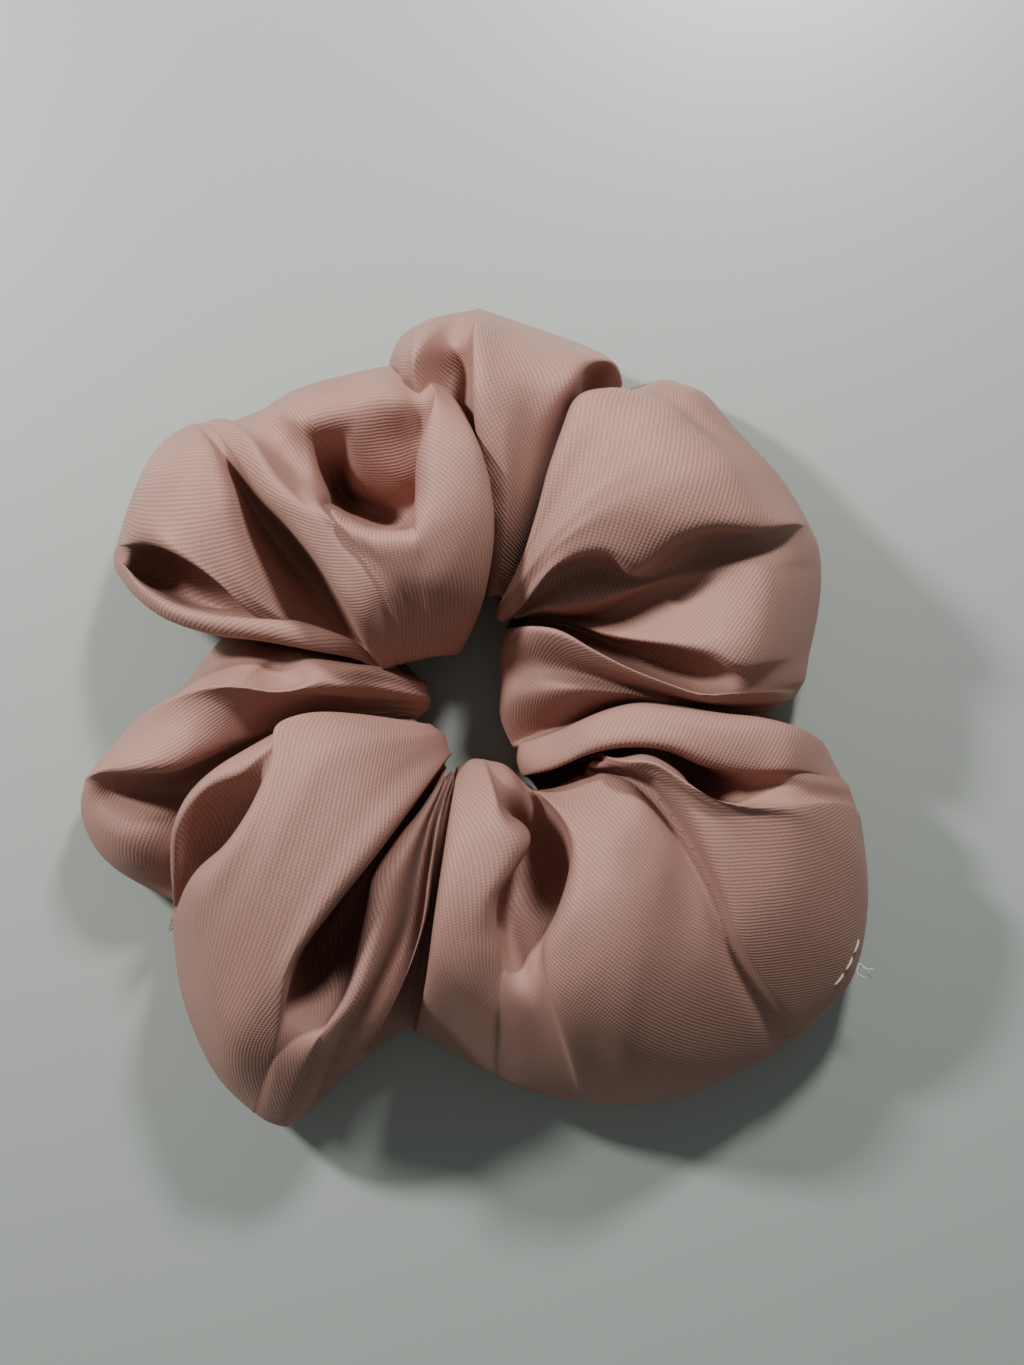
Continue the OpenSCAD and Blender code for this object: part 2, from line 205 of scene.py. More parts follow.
    ("", 2, [(-13.8, 8.5, 15), (-20, 10.6, 16), (-26, 12, 16), (-31.4, 14.2, 14), (-35.4, 17.4, 11),
             (-40, 20, 9.6), (-44.4, 22, 11), (-48, 23.8, 18), (-50.3, 24, 13.6)]),
    ("", 2, [(-13.6, 8.4, 15), (-20, 10.2, 17), (-26, 12.2, 16), (-32, 13.8, 11), (-37.4, 15.6, 8),
             (-42.2, 17.6, 9), (-46.2, 20.6, 13), (-48.6, 22.9, 17.6), (-50.4, 23.3, 13.2)]),
    ("brim", 1, [(-13.2, 8.2, 16), (-17, 11, 21), (-24, 13.4, 24), (-32.1, 14.9, 25.4), (-41, 16.6, 25),
                 (-46.4, 19.4, 23), (-49.2, 22, 18), (-50.4, 22.4, 12.8)]),
    ("lip", 1, [(-12.4, 7, 16), (-16.6, 8.7, 20), (-21, 9.8, 22.6), (-29.6, 11.4, 24.4), (-37.2, 12.4, 24.2),
                (-43.8, 14.6, 22.4), (-48, 17.8, 18.4), (-50, 20.8, 12)]),
    ("gap", 3, [(-9.6, 6.6, 14), (-17, 9, 14), (-24, 11, 12), (-30, 12, 10), (-34.4, 12.8, 8)]),
    # left puff
    ("", 2, [(-7, 5.4, 16), (-14, 7.4, 20), (-20, 8.4, 21.6), (-24, 9.2, 19.6), (-28, 9.8, 17),
             (-31.6, 9.8, 17), (-35.8, 10.8, 9)]),
    ("", 2, [(-6.8, 4.4, 16), (-14, 6, 20), (-20, 6.4, 23), (-23, 7.2, 22.6), (-26.2, 7.6, 19),
             (-29, 7.4, 19.4), (-31, 7.2, 22), (-34, 7.6, 19.6), (-38.2, 7.8, 9)]),
    ("", 1, [(-6.6, 3.4, 16), (-14, 4.6, 20), (-19.6, 5, 23.6), (-22.2, 5.8, 24.6), (-25, 5.2, 21.6),
             (-28, 5, 22.4), (-33, 5.8, 25), (-38, 5.6, 21.4), (-41, 4.4, 11)]),
    ("lip", 1, [(-6.5, 2.8, 14), (-14, 3, 16), (-20.6, 3.6, 20.6), (-24.4, 3.9, 24.4), (-28.6, 3.9, 25.4),
                (-34, 4.8, 26.6), (-40, 4, 25), (-44.6, 2, 20), (-46.8, .8, 11)]),
    ("", 1, [(-6.6, 1.8, 12.6), (-14, 1.4, 13), (-21, 1.2, 13.4), (-27, 1, 17), (-33, .6, 22), (-40, -.6, 24),
             (-46.6, -2.2, 20.6), (-50.6, -3.4, 11)]),
    ("lip", 1, [(-7, 1.4, 12), (-15, .8, 13), (-24, -.2, 14), (-33, -3.4, 19), (-39, -6.2, 23), (-43, -7.8, 25),
                (-48.6, -7.8, 25.6), (-52.6, -7.4, 21), (-54.4, -8, 13)]),
    ("", 2, [(-7.4, 1, 12), (-15.6, .4, 13.6), (-24.6, -1.4, 14.4), (-33, -5.4, 12), (-39, -8.4, 10),
             (-44, -9.6, 9.6), (-49, -9.8, 11), (-53, -10.4, 14), (-55, -11, 11)]),
    ("", 1, [(-8, .4, 12), (-16, -.6, 13.6), (-25, -4, 14.4), (-34, -9.6, 10), (-40.6, -12.6, 13),
             (-46, -13.4, 17.4), (-51, -13.8, 17), (-54.4, -15, 10)]),
    ("", 1, [(-8.6, 0, 12), (-17, -2, 13.8), (-27, -7.6, 14.4), (-36, -14, 9.6), (-43, -18, 14),
             (-48, -19.6, 14), (-51, -20.2, 9)]),
    ("gap", 3, [(-9, -.6, 12), (-18, -3.6, 13.8), (-27, -10, 14.4), (-35, -17, 9.6), (-41.8, -25, 7)]),
    # the arched fold and the broad tongue
    ("ridge", 2, [(-9, .2, 14), (-18, .4, 17), (-25, -.4, 21.6), (-31, -3.2, 25), (-36, -6.2, 27),
                  (-40.2, -10.2, 27), (-42.4, -15, 25.6), (-42.6, -20, 20), (-42, -25, 11)]),
    ("lip", 2, [(-8.6, 0, 15), (-17.6, .1, 18), (-24, -.6, 23), (-28.4, -3.4, 27.6), (-32.2, -7.4, 29.4),
                (-36.2, -9.6, 29), (-39.4, -12.8, 27.4), (-41, -16.8, 24.4), (-41.2, -21.6, 18),
                (-42, -26, 10)]),
    ("", 2, [(-8, -.4, 16), (-17, -.6, 18), (-24, -1.2, 24), (-28, -4.6, 27.6), (-31.2, -9, 25),
             (-35.2, -12.4, 19), (-38, -16, 17), (-39.8, -20, 15), (-40.8, -24.4, 11), (-42.2, -28, 7)]),
    ("", 2, [(-7.6, -.6, 16), (-16.6, -.6, 20), (-23.6, -.8, 26), (-27, -3.6, 29), (-28.8, -7.6, 28),
             (-30.8, -12.4, 20), (-34.6, -18.4, 15), (-39, -24.6, 12), (-42.4, -29.4, 8)]),
    ("brim", 1, [(-6.6, -.4, 17), (-16, .7, 25), (-23, .9, 29.6), (-27.8, -1, 32.4), (-28.2, -4.4, 33.6),
                 (-29.8, -8.6, 34), (-32.2, -13.2, 34), (-35.6, -18, 32.4), (-40, -22.6, 27),
                 (-42.2, -28, 14)]),
    ("", 1, [(-5, -1.6, 18), (-13, -2.2, 28), (-20.6, -3.6, 33), (-25, -9.6, 35.6), (-29.4, -17.6, 35.6),
             (-34.8, -26, 32), (-38.4, -32.6, 26), (-41.2, -37, 13)]),
    ("", 1, [(-4.4, -2.4, 18), (-11.6, -5, 28.4), (-19, -10, 34), (-24.4, -17.6, 35.6), (-29.4, -26.6, 34),
             (-33.8, -34.6, 29.6), (-37, -41, 23.6), (-38.8, -44.4, 12.6)]),
    ("", 1, [(-4, -3.6, 18), (-10, -8, 28), (-16, -14.4, 33.6), (-21.4, -22, 35), (-26.4, -31, 33.4),
             (-30.6, -40, 29), (-33.8, -47, 23), (-35.4, -50.6, 12.6)]),
    ("lip", 1, [(-3.6, -5, 18), (-9, -12.2, 29), (-14.6, -19.8, 33.4), (-20.6, -27.6, 33.8), (-25, -34, 32.4),
                (-26.6, -40, 29.4), (-28.6, -47.6, 23.4), (-31, -54.6, 12.6)]),
    ("", 2, [(-4.2, -6, 14), (-9.6, -12.8, 14), (-15, -20.4, 14.6), (-20.6, -28.4, 10), (-24, -35, 13),
             (-25.4, -40.6, 24), (-27, -48, 23.4), (-28.8, -56, 12.4)]),
    ("", 2, [(-4.2, -6.8, 14), (-9, -14.2, 14.6), (-14.2, -21.8, 14), (-17.6, -29.4, 10), (-20, -36.6, 14),
             (-22, -43, 25.4), (-24.6, -49.6, 22.4), (-26.4, -56.8, 12.2)]),
    ("brim", 2, [(-4, -7.4, 16), (-8, -13, 23), (-11.8, -18, 27), (-14.8, -22.6, 28.4), (-16, -27.6, 28.6),
                 (-17.2, -33.4, 28.4), (-19, -39.6, 27.4), (-22, -45.6, 24.6), (-24, -52, 18),
                 (-24.8, -56.2, 11.6)]),
    ("", 2, [(-3.8, -7.8, 17), (-6.8, -13.6, 24.4), (-9.4, -19.4, 29), (-11.6, -25.4, 30.4), (-13, -31.4, 30),
             (-15, -37.4, 28.6), (-18, -43, 25.6), (-21, -49.6, 20), (-22.8, -54.6, 11)]),
    ("", 2, [(-3.6, -8, 15), (-6, -13.6, 19), (-7.9, -20, 20), (-9.4, -27.2, 20), (-11.8, -33.4, 20),
             (-15.2, -39.6, 20), (-18.8, -46, 17), (-21.6, -53.4, 10)]),
    ("", 2, [(-3.4, -8, 15), (-5.4, -13.6, 20), (-7, -21, 20), (-8.4, -28.6, 19), (-10.8, -35.6, 19),
             (-14, -41.4, 18), (-17.4, -47.4, 14), (-19, -50.4, 10)]),
    ("ridge", 2, [(-3.2, -8, 17), (-4.8, -13.6, 25.4), (-6.1, -21, 28.6), (-7.2, -28.6, 28.4),
                  (-9.4, -35.6, 26.6), (-12.2, -41.6, 22), (-15.4, -47.4, 12)]),
    ("gap", 3, [(-2.8, -8, 14), (-4, -14, 15), (-5.2, -22, 14.6), (-6.4, -30, 14), (-7.6, -37, 12),
                (-9.4, -43, 9)]),
    # lower right puff
    ("brim", 1, [(-2.2, -7, 17), (-3.2, -12, 26.4), (-4.4, -19, 30.4), (-5.8, -28, 30.4), (-6.8, -36, 26),
                 (-7.6, -41.4, 18), (-8, -43.8, 11)]),
    ("", 1, [(-.4, -5.8, 19), (0, -12, 30), (-.6, -20, 33), (-1.6, -29, 32), (-2.4, -38, 27), (-3, -46.4, 12)]),
    ("lip", 1, [(1.4, -5.6, 20), (2.8, -9, 28.4), (4.6, -13.4, 31.8), (7.6, -17, 32.4), (6, -21.2, 32),
                (3.8, -24.6, 31.4), (3.2, -28.6, 30.4), (3.6, -34, 29), (3, -42, 24), (2.6, -49.4, 12)]),
    ("", 2, [(4.6, -6.4, 19), (6.2, -8.8, 22), (6.8, -12, 20), (6.2, -16, 15), (5.8, -19.6, 14.4),
             (4.8, -23.6, 14.2), (4.6, -27.4, 15), (5, -31.4, 22.6), (6, -37, 28), (6.6, -44, 23),
             (7, -51.4, 11.6)]),
    ("", 2, [(7.4, -9, 18), (8.6, -12.6, 17), (9.9, -17, 15), (9.8, -22.4, 14.6), (8.4, -27, 17),
             (7.6, -31.4, 25), (8.8, -37, 29), (10, -44, 24.6), (11.2, -52.6, 11.6)]),
    ("brim", 1, [(8.6, -9.8, 18), (11, -12, 26), (13.2, -16.4, 31.4), (13, -21.6, 33), (11.4, -27, 33.4),
                 (9.6, -31.4, 32.6), (11, -39, 31.4), (13.4, -46.6, 25), (15.6, -53.2, 11.6)]),
    ("", 1, [(11, -9.8, 19), (14.6, -13.6, 30), (17, -21, 34.6), (16, -29, 35.6), (15.6, -38, 33),
             (17.4, -47, 25), (19, -53.6, 12)]),
    ("", 1, [(13, -9, 19), (17.4, -13.4, 31), (21, -22, 34.6), (21.4, -32, 34.6), (21.6, -41, 31),
             (22.6, -49, 23), (23.4, -53.6, 12)]),
    ("", 1, [(15, -8, 20), (20, -12, 30), (24.6, -20, 32.4), (26, -30, 32.4), (27, -39, 29),
             (28.6, -47.6, 21.4), (29.4, -52.6, 12)]),
    ("", 1, [(16, -7.4, 20), (21.6, -9.6, 28), (26.6, -16, 29.6), (29.4, -25, 29.4), (31.6, -34.6, 27.6),
             (34.8, -44, 20), (36.6, -49.4, 12)]),
]
NU, NV = 400, 88   # points of the coarse grid, round the ring and round the tube
DRAWN_Z = 20.0     # the x and y of the loops are as seen by the camera at this height, mm
OVERSHOOT = 2.0    # the steepest that a curve may leave a point, in terms of its slower side
TUCK = 1.6         # how far cloth turns back under a lip or brim, mm
DEEP = 16.0        # the drop beside a crest at which it does so in full, mm


def seen_from_eye(xy, z, z_to):
    """Where points at height z lie when they are moved along the camera's rays to height z_to."""
    return EYE[:2] + (xy - EYE[:2]) * (EYE[2] - z_to) / (EYE[2] - z)


def run_along(path):
    """The distance along a path to each of its points."""
    return np.concatenate([[0], np.cumsum(np.linalg.norm(np.diff(path, axis=0), axis=1))])


def closed_loop(low, top):
    """The whole loop: its top line, then down, along the underside and up the side of the hole."""
    p = np.array(top, float)
    p[:, :2] = seen_from_eye(p[:, :2], DRAWN_Z, p[:, 2:])
    first, end = p[0], p[-1]
    out = end[:2] / np.linalg.norm(end[:2])
    inn = first[:2] / np.linalg.norm(first[:2])
    d = end[:2] - first[:2]
    run = np.linalg.norm(d)
    under = [
        (*(end[:2] + out * 0.4), max(low + 1.5, end[2] * 0.5)),
        (*(end[:2] - out * 2.5), low + 0.6),
        (*(first[:2] + d * 0.72), low),
        (*(first[:2] + d * 0.42), low + 0.3),
        (*(first[:2] + inn * min(8, run * 0.25)), low + 1.5),
        (*(first[:2] + inn * 1.5), first[2] * 0.45 + low * 0.3),
    ]
    return p, np.array(under)


def sample(points, at, n):
    """A smooth closed curve through points at the parameters at, taken at n even parameters."""
    a = np.concatenate([at - 1, at, at + 1])[:, None, None]
    p = np.concatenate([points] * 3).reshape(len(a), -1, 3)
    pace = np.linalg.norm(np.diff(p, axis=0), axis=2)[..., None] / np.diff(a, axis=0)
    m = np.zeros_like(p)
    m[1:-1] = (p[2:] - p[:-2]) / (a[2:] - a[:-2])
    # where two points lie close together the curve slows down, so that it can't overshoot them
    most = OVERSHOOT * np.minimum(pace[1:], pace[:-1])
    m[1:-1] *= np.minimum(1, most / np.maximum(np.linalg.norm(m[1:-1], axis=2)[..., None], 1e-9))
    t = np.arange(n) / n
    i = np.searchsorted(a[:, 0, 0], t, side="right") - 1
    h = a[i + 1] - a[i]
    s = (t[:, None, None] - a[i]) / h
    return ((2 * s**3 - 3 * s**2 + 1) * p[i] + (s**3 - 2 * s**2 + s) * h * m[i]
            + (-2 * s**3 + 3 * s**2) * p[i + 1] + (s**3 - s**2) * h * m[i + 1])


def loop_points(low, top, n):
    """A whole loop as n points. The top line takes the first 48% of them, whatever its length."""
    p, under = closed_loop(low, top)
    # heights count for less, so that neighbouring loops keep in step where only one dives into a hollow
    a = run_along(p * (1, 1, 0.25))
    b = run_along(np.concatenate([p[-1:], under, p[:1]]))[1:]
    at = np.concatenate([0.02 + 0.46 * a / a[-1], 0.48 + 0.54 * b[:-1] / b[-1]])
    return sample(np.concatenate([p, under]), at, n)[:, 0]


def turned_under(crest, low):
    """A loop beneath a crest: part of the way down to the low loop beside it, and back under the crest."""
    drop = crest[:, 2] - low[:, 2]
    back = crest[:, :2] - low[:, :2]
    back /= np.maximum(np.linalg.norm(back, axis=1), 0.3)[:, None]
    loop = crest + (low - crest) * 0.5
    tuck = back * (TUCK * np.clip(drop / DEEP, 0, 1))[:, None]
    loop[:, :2] = crest[:, :2] + (low - crest)[:, :2] * 0.2 + tuck
    return loop


drawn = [loop_points(low, top, NV) for _, low, top in LOOPS]
rings, kinds = [], []
for n, (kind, _, _) in enumerate(LOOPS):
    if kind in ("brim", "ridge"):
        rings.append(turned_under(drawn[n], drawn[n - 1]))
        kinds.append("")
    rings.append(drawn[n])
    kinds.append(kind)
    if kind in ("lip", "ridge"):
        rings.append(turned_under(drawn[n], drawn[(n + 1) % len(LOOPS)]))
        kinds.append("")
rings = np.array(rings)
step = np.linalg.norm(np.roll(rings, -1, axis=0) - rings, axis=2).mean(1)
knots = np.concatenate([[0], np.cumsum(step)]) / step.sum()
grid = sample(rings, knots[:-1], NU)
gaps = [knots[i] for i, kind in enumerate(kinds) if kind == "gap"]

# ---------------------------------------------------------------- the cloth settles
LENGTH, ROUND = 400.0, 110.0                # the strip of cloth, mm
RING_R, RING_Z, RING_HALF = 24.0, 9.0, 4.2  # the elastic: its radius, its height and the room it takes, mm
TABLE_Z = 0.4                               # the lowest that the cloth's middle lies, mm
APART = 1.1                                 # the least distance between two layers, mm
SLACK = 1.3                                 # how far cloth may be stretched beyond the strip's own spacing
TIGHTEN, STIFF, HOLD = 0.4, 0.12, 0.12      # strength of stretch, of bending and of the drawn shape
SETTLE_ROUNDS, SOFTEN_ROUNDS = 10, 6


def shift(a, i, j):
    """Each point's neighbour i rows and j columns on; the grid is closed both ways."""
    return np.roll(np.roll(a, -i, axis=0), -j, axis=1)


def pull(x, i, j, rest, k):
    """Moves each pair of points towards its length in the flat cloth."""
    d = shift(x, i, j) - x
    n = np.linalg.norm(d, axis=2)
    c = (k * 0.5 * (n - rest) / np.maximum(n, 1e-6))[..., None] * d
    return c - shift(c, -i, -j)


def near_pairs(x, reach):
    """Pairs of points that are closer than reach, and not neighbours in the cloth."""
    nu, nv = x.shape[:2]
    p = x.reshape(-1, 3)
    cell = np.floor((p - p.min(0)) / reach).astype(np.int64) + 1
    size = cell.max(0) + 2
    key = (cell[:, 0] * size[1] + cell[:, 1]) * size[2] + cell[:, 2]
    order = np.argsort(key, kind="stable")
    ks = key[order]
    found_a, found_b = [], []
    steps = [(a, b, c) for a in (-1, 0, 1) for b in (-1, 0, 1) for c in (-1, 0, 1) if (a, b, c) >= (0, 0, 0)]
    for a, b, c in steps:
        want = key + (a * size[1] + b) * size[2] + c
        lo, hi = np.searchsorted(ks, want, "left"), np.searchsorted(ks, want, "right")
        n = hi - lo
        first = np.repeat(np.arange(len(p)), n)
        start = np.repeat(lo - np.concatenate([[0], np.cumsum(n)[:-1]]), n)
        second = order[start + np.arange(n.sum())]
        if (a, b, c) == (0, 0, 0):
            keep = first < second
            first, second = first[keep], second[keep]
        di = np.abs(first // nv - second // nv)
        dj = np.abs(first % nv - second % nv)
        di, dj = np.minimum(di, nu - di), np.minimum(dj, nv - dj)
        keep = (di + dj > 3) & (((p[first] - p[second]) ** 2).sum(1) < reach * reach)
        found_a.append(first[keep])
        found_b.append(second[keep])
    return np.concatenate(found_a), np.concatenate(found_b)


def curl(x):
    """From each point to the middle of its four neighbours."""
    return (shift(x, 1, 0) + shift(x, -1, 0) + shift(x, 0, 1) + shift(x, 0, -1)) / 4 - x


def keep_apart(x, reach, k=0.5):
    """Moves layers of cloth that touch away from each other."""
    a, b = near_pairs(x, reach)
    p = x.reshape(-1, 3)
    d = p[b] - p[a]
    n = np.linalg.norm(d, axis=1)
    c = (k * 0.5 * (reach - n) / np.maximum(n, 1e-6))[:, None] * d
    for q in range(3):
        p[:, q] += np.bincount(b, c[:, q], len(p)) - np.bincount(a, c[:, q], len(p))


def solids(x):
    """The table under the cloth and the elastic inside it."""
    x[..., 2] = np.maximum(x[..., 2], TABLE_Z)
    r = np.hypot(x[..., 0], x[..., 1])
    dr, dz = r - RING_R, x[..., 2] - RING_Z
    n = np.hypot(dr, dz)
    push = np.where(n < RING_HALF, RING_HALF / np.maximum(n, 0.1), 1)
    x[..., 2] = RING_Z + dz * push
    x[..., :2] *= ((RING_R + dr * push) / r)[..., None]


def settle(target, rounds):
    """The cloth finds its place near the drawn shape: stretched spots tighten, layers move apart."""
    x = target.copy()
    lu = np.linalg.norm(shift(x, 1, 0) - x, axis=2)
    lv = np.linalg.norm(shift(x, 0, 1) - x, axis=2)
    rest_u = np.minimum(lu, LENGTH / NU * SLACK)
    rest_v = np.minimum(lv, ROUND / NV * SLACK)
    for n in range(rounds):
        x = x + pull(x, 1, 0, rest_u, TIGHTEN)
        x = x + pull(x, 0, 1, rest_v, TIGHTEN)
        x = x - STIFF * curl(curl(x))
        x = x + HOLD * (target - x)
        if n % 3 == 2:
            x = np.ascontiguousarray(x)
            keep_apart(x, APART)
        solids(x)
    return x


def soften(x, rounds):
    """Rounds off folds that are tighter than cloth can be, and leaves the wider ones as they are."""
    for _ in range(rounds):
        for k in (0.5, -0.52):       # a step in and a slightly larger step out, so that nothing shrinks
            x = x + k * curl(x)
    return x


grid = soften(settle(grid, SETTLE_ROUNDS), SOFTEN_ROUNDS)
solids(grid)

# ---------------------------------------------------------------- the fine surface
FINE = 2                         # fine points for each coarse one, both ways
grid = sample(grid, np.arange(NU) / NU, NU * FINE)
NU *= FINE
grid = sample(grid.transpose(1, 0, 2), np.arange(NV) / NV, NV * FINE).transpose(1, 0, 2)
NV *= FINE


def normals(x):
    """The direction that the cloth faces at each point of the grid."""
    n = np.cross(shift(x, 1, 0) - shift(x, -1, 0), shift(x, 0, 1) - shift(x, 0, -1))
    return n / np.maximum(np.linalg.norm(n, axis=2), 1e-9)[..., None]


# the cross seam and the long seam pull the cloth in
LONG_SEAM_V = 0.5                # where the long seam runs, as a share of the way round the tube
CROSS_DIP, CROSS_WIDE = 0.9, 1.1 # depth and half width of the cross seam's furrow, mm
LONG_DIP, LONG_WIDE = 0.5, 0.9   # and of the long seam's
facing = normals(grid)
outward = np.sign((facing * (grid - grid.mean(1, keepdims=True))).sum())
facing *= outward
from_cross = np.abs((np.arange(NU) / NU + 0.5) % 1 - 0.5) * LENGTH
from_long = np.abs(np.arange(NV) / NV - LONG_SEAM_V) * ROUND
dip = (CROSS_DIP * np.exp(-((from_cross / CROSS_WIDE) ** 2))[:, None]
       + LONG_DIP * np.exp(-((from_long / LONG_WIDE) ** 2))[None, :])
grid = grid - facing * np.minimum(dip, CROSS_DIP)[..., None]
facing = normals(grid) * outward


# ---------------------------------------------------------------- materials
UV_UNIT = 100.0                  # the pieces' u and v are stored in units of 100 mm
RIB = 0.5                        # the twill's pitch, mm
SLANT_U, SLANT_V = 0.83, 0.56    # the direction across its ribs


def node(tree, kind, inputs=None, **props):
    """A shader node with its inputs, each a value or another node's output, and its properties."""
    n = tree.nodes.new(kind)
    for k, v in props.items():
        setattr(n, k, v)
    for k, v in (inputs or {}).items():
        if hasattr(v, "is_output"):
            tree.links.new(v, n.inputs[k])
        else:
            n.inputs[k].default_value = v
    return n


def calc(tree, op, *values):
    """The output of a Math node."""
    return node(tree, "ShaderNodeMath", dict(enumerate(values)), operation=op).outputs[0]


def wave(tree, at, pitch):
    """A sine of a length in millimetres."""
    return calc(tree, "SINE", calc(tree, "MULTIPLY", at, 2 * math.pi / pitch))


def satin(name, tint):
    """Satin with a twill face. The ribs follow the cloth: its own u and v, in millimetres."""
    m = bpy.data.materials.new(name)
    m.use_nodes = True
    t = m.node_tree
    bsdf = t.nodes["Principled BSDF"]
    uv = node(t, "ShaderNodeUVMap", uv_map="cloth")
    place = node(t, "ShaderNodeVectorMath", {0: uv.outputs[0], "Scale": UV_UNIT}, operation="SCALE")
    xyz = node(t, "ShaderNodeSeparateXYZ", {0: place.outputs[0]})
    u, v = xyz.outputs[0], xyz.outputs[1]
    slub = node(t, "ShaderNodeTexNoise", {"Vector": place.outputs[0], "Scale": 0.9, "Detail": 3.0})
    soft = calc(t, "MULTIPLY", calc(t, "SUBTRACT", slub.outputs[0], 0.5), 0.3)
    across = calc(t, "ADD", calc(t, "MULTIPLY_ADD", u, SLANT_U, calc(t, "MULTIPLY", v, SLANT_V)), soft)
    along = calc(t, "MULTIPLY_ADD", v, SLANT_U, calc(t, "MULTIPLY", u, -SLANT_V))
    rib, stitch = wave(t, across, RIB), wave(t, along, RIB * 0.8)
    weave = calc(t, "MULTIPLY_ADD", rib, 0.36, calc(t, "MULTIPLY_ADD", stitch, 0.14, 0.5))
    patches = node(t, "ShaderNodeTexNoise",
                   {"Vector": place.outputs[0], "Scale": 0.06, "Detail": 3.0, "Roughness": 0.55})
    shade = calc(t, "MULTIPLY_ADD", weave, 0.34, calc(t, "MULTIPLY_ADD", patches.outputs[0], 0.16, 0.75))
    col = node(t, "ShaderNodeVectorMath", {0: tuple(tint), "Scale": shade}, operation="SCALE")
    t.links.new(col.outputs[0], bsdf.inputs["Base Color"])
    bump = node(t, "ShaderNodeBump", {"Strength": 0.5, "Distance": 0.0001, "Height": weave})
    t.links.new(bump.outputs[0], bsdf.inputs["Normal"])
    t.links.new(calc(t, "MULTIPLY_ADD", weave, -0.12, 0.5), bsdf.inputs["Roughness"])
    bsdf.inputs["Specular IOR Level"].default_value = 0.09
    bsdf.inputs["Sheen Weight"].default_value = 0.04
    bsdf.inputs["Sheen Roughness"].default_value = 0.35
    bsdf.inputs["Sheen Tint"].default_value = (1, 0.86, 0.8, 1)
    return m


def yarn(name, tint, pitch, depth, rough):
    """Twisted or braided yarn, its turns drawn on the piece's own u and v, in millimetres."""
    m = bpy.data.materials.new(name)
    m.use_nodes = True
    t = m.node_tree
    bsdf = t.nodes["Principled BSDF"]
    uv = node(t, "ShaderNodeUVMap", uv_map="cloth")
    place = node(t, "ShaderNodeVectorMath", {0: uv.outputs[0], "Scale": UV_UNIT}, operation="SCALE")
    xyz = node(t, "ShaderNodeSeparateXYZ", {0: place.outputs[0]})
    one = wave(t, calc(t, "ADD", xyz.outputs[0], xyz.outputs[1]), pitch)
    two = wave(t, calc(t, "SUBTRACT", xyz.outputs[0], xyz.outputs[1]), pitch)
    turns = calc(t, "MULTIPLY_ADD", calc(t, "MAXIMUM", one, two), 0.4, 0.5)
    fuzz = node(t, "ShaderNodeTexNoise", {"Vector": place.outputs[0], "Scale": 6.0, "Detail": 4.0})
    shade = calc(t, "MULTIPLY_ADD", turns, 0.3, calc(t, "MULTIPLY_ADD", fuzz.outputs[0], 0.2, 0.65))
    col = node(t, "ShaderNodeVectorMath", {0: tuple(tint), "Scale": shade}, operation="SCALE")
    t.links.new(col.outputs[0], bsdf.inputs["Base Color"])
    bump = node(t, "ShaderNodeBump", {"Strength": 0.6, "Distance": depth, "Height": turns})
    t.links.new(bump.outputs[0], bsdf.inputs["Normal"])
    bsdf.inputs["Roughness"].default_value = rough
    bsdf.inputs["Sheen Weight"].default_value = 0.3
    return m


SATIN = satin("satin", (0.36, 0.195, 0.158))
THREAD = yarn("sewing_thread", (0.30, 0.155, 0.125), 0.5, 0.00004, 0.55)
PALE = yarn("pale_thread", (0.74, 0.62, 0.52), 0.5, 0.00004, 0.5)
TAIL = yarn("loose_thread", (0.8, 0.78, 0.7), 0.4, 0.00004, 0.6)
BRAID = yarn("braided_elastic", (0.78, 0.74, 0.68), 0.9, 0.0001, 0.8)


# ---------------------------------------------------------------- pieces
def piece(name, points, faces, coords, material):
    """A mesh from points in mm and faces, with u and v in mm for each corner of a face."""
    me = bpy.data.meshes.new(name)
    me.from_pydata((np.asarray(points) * MM).tolist(), [], faces)
    me.polygons.foreach_set("use_smooth", [True] * len(me.polygons))
    uv = me.uv_layers.new(name="cloth")
    uv.data.foreach_set("uv", (np.asarray(coords, np.float32) / UV_UNIT).ravel())
    me.update()
    ob = bpy.data.objects.new(name, me)
    scene.collection.objects.link(ob)
    me.materials.append(material)
    return ob


def tube(path, radius, sides=8, ends=1.0):
    """Points, faces and corner coordinates of a round thread along path, its ends drawn in."""
    path = np.asarray(path, float)
    along = np.gradient(path, axis=0)
    along /= np.linalg.norm(along, axis=1)[:, None]
    side = np.cross(along, (0.31, 0.17, 0.93))
    side /= np.linalg.norm(side, axis=1)[:, None]
    up = np.cross(along, side)
    run = run_along(path)
    turn = np.arange(sides) / sides * 2 * np.pi
    size = np.full(len(path), radius)
    size[[0, -1]] *= ends
    pts = (path[:, None] + (side[:, None] * np.cos(turn)[None, :, None]
                            + up[:, None] * np.sin(turn)[None, :, None]) * size[:, None, None])
    faces, coords = [], []
    for i in range(len(path) - 1):
        for j in range(sides):
            k = (j + 1) % sides
            faces.append((i * sides + j, i * sides + k, (i + 1) * sides + k, (i + 1) * sides + j))
            w = 2 * np.pi * radius / sides
            coords += [(run[i], j * w), (run[i], (j + 1) * w), (run[i + 1], (j + 1) * w), (run[i + 1], j * w)]
    for first, order in ((0, -1), ((len(path) - 1) * sides, 1)):
        faces.append(tuple(first + j for j in range(sides))[::order])
        coords += [(0, 0)] * sides
    return pts.reshape(-1, 3), faces, coords


def threads(name, paths, radius, material, sides=8):
    """One piece made of a short round thread for each path."""
    points, faces, coords = [], [], []
    for path in paths:
        p, f, c = tube(path, radius, sides, 0.6)
        n = sum(len(q) for q in points)
        faces += [tuple(v + n for v in face) for face in f]
        coords += c
        points.append(p)
    return piece(name, np.concatenate(points), faces, coords, material)


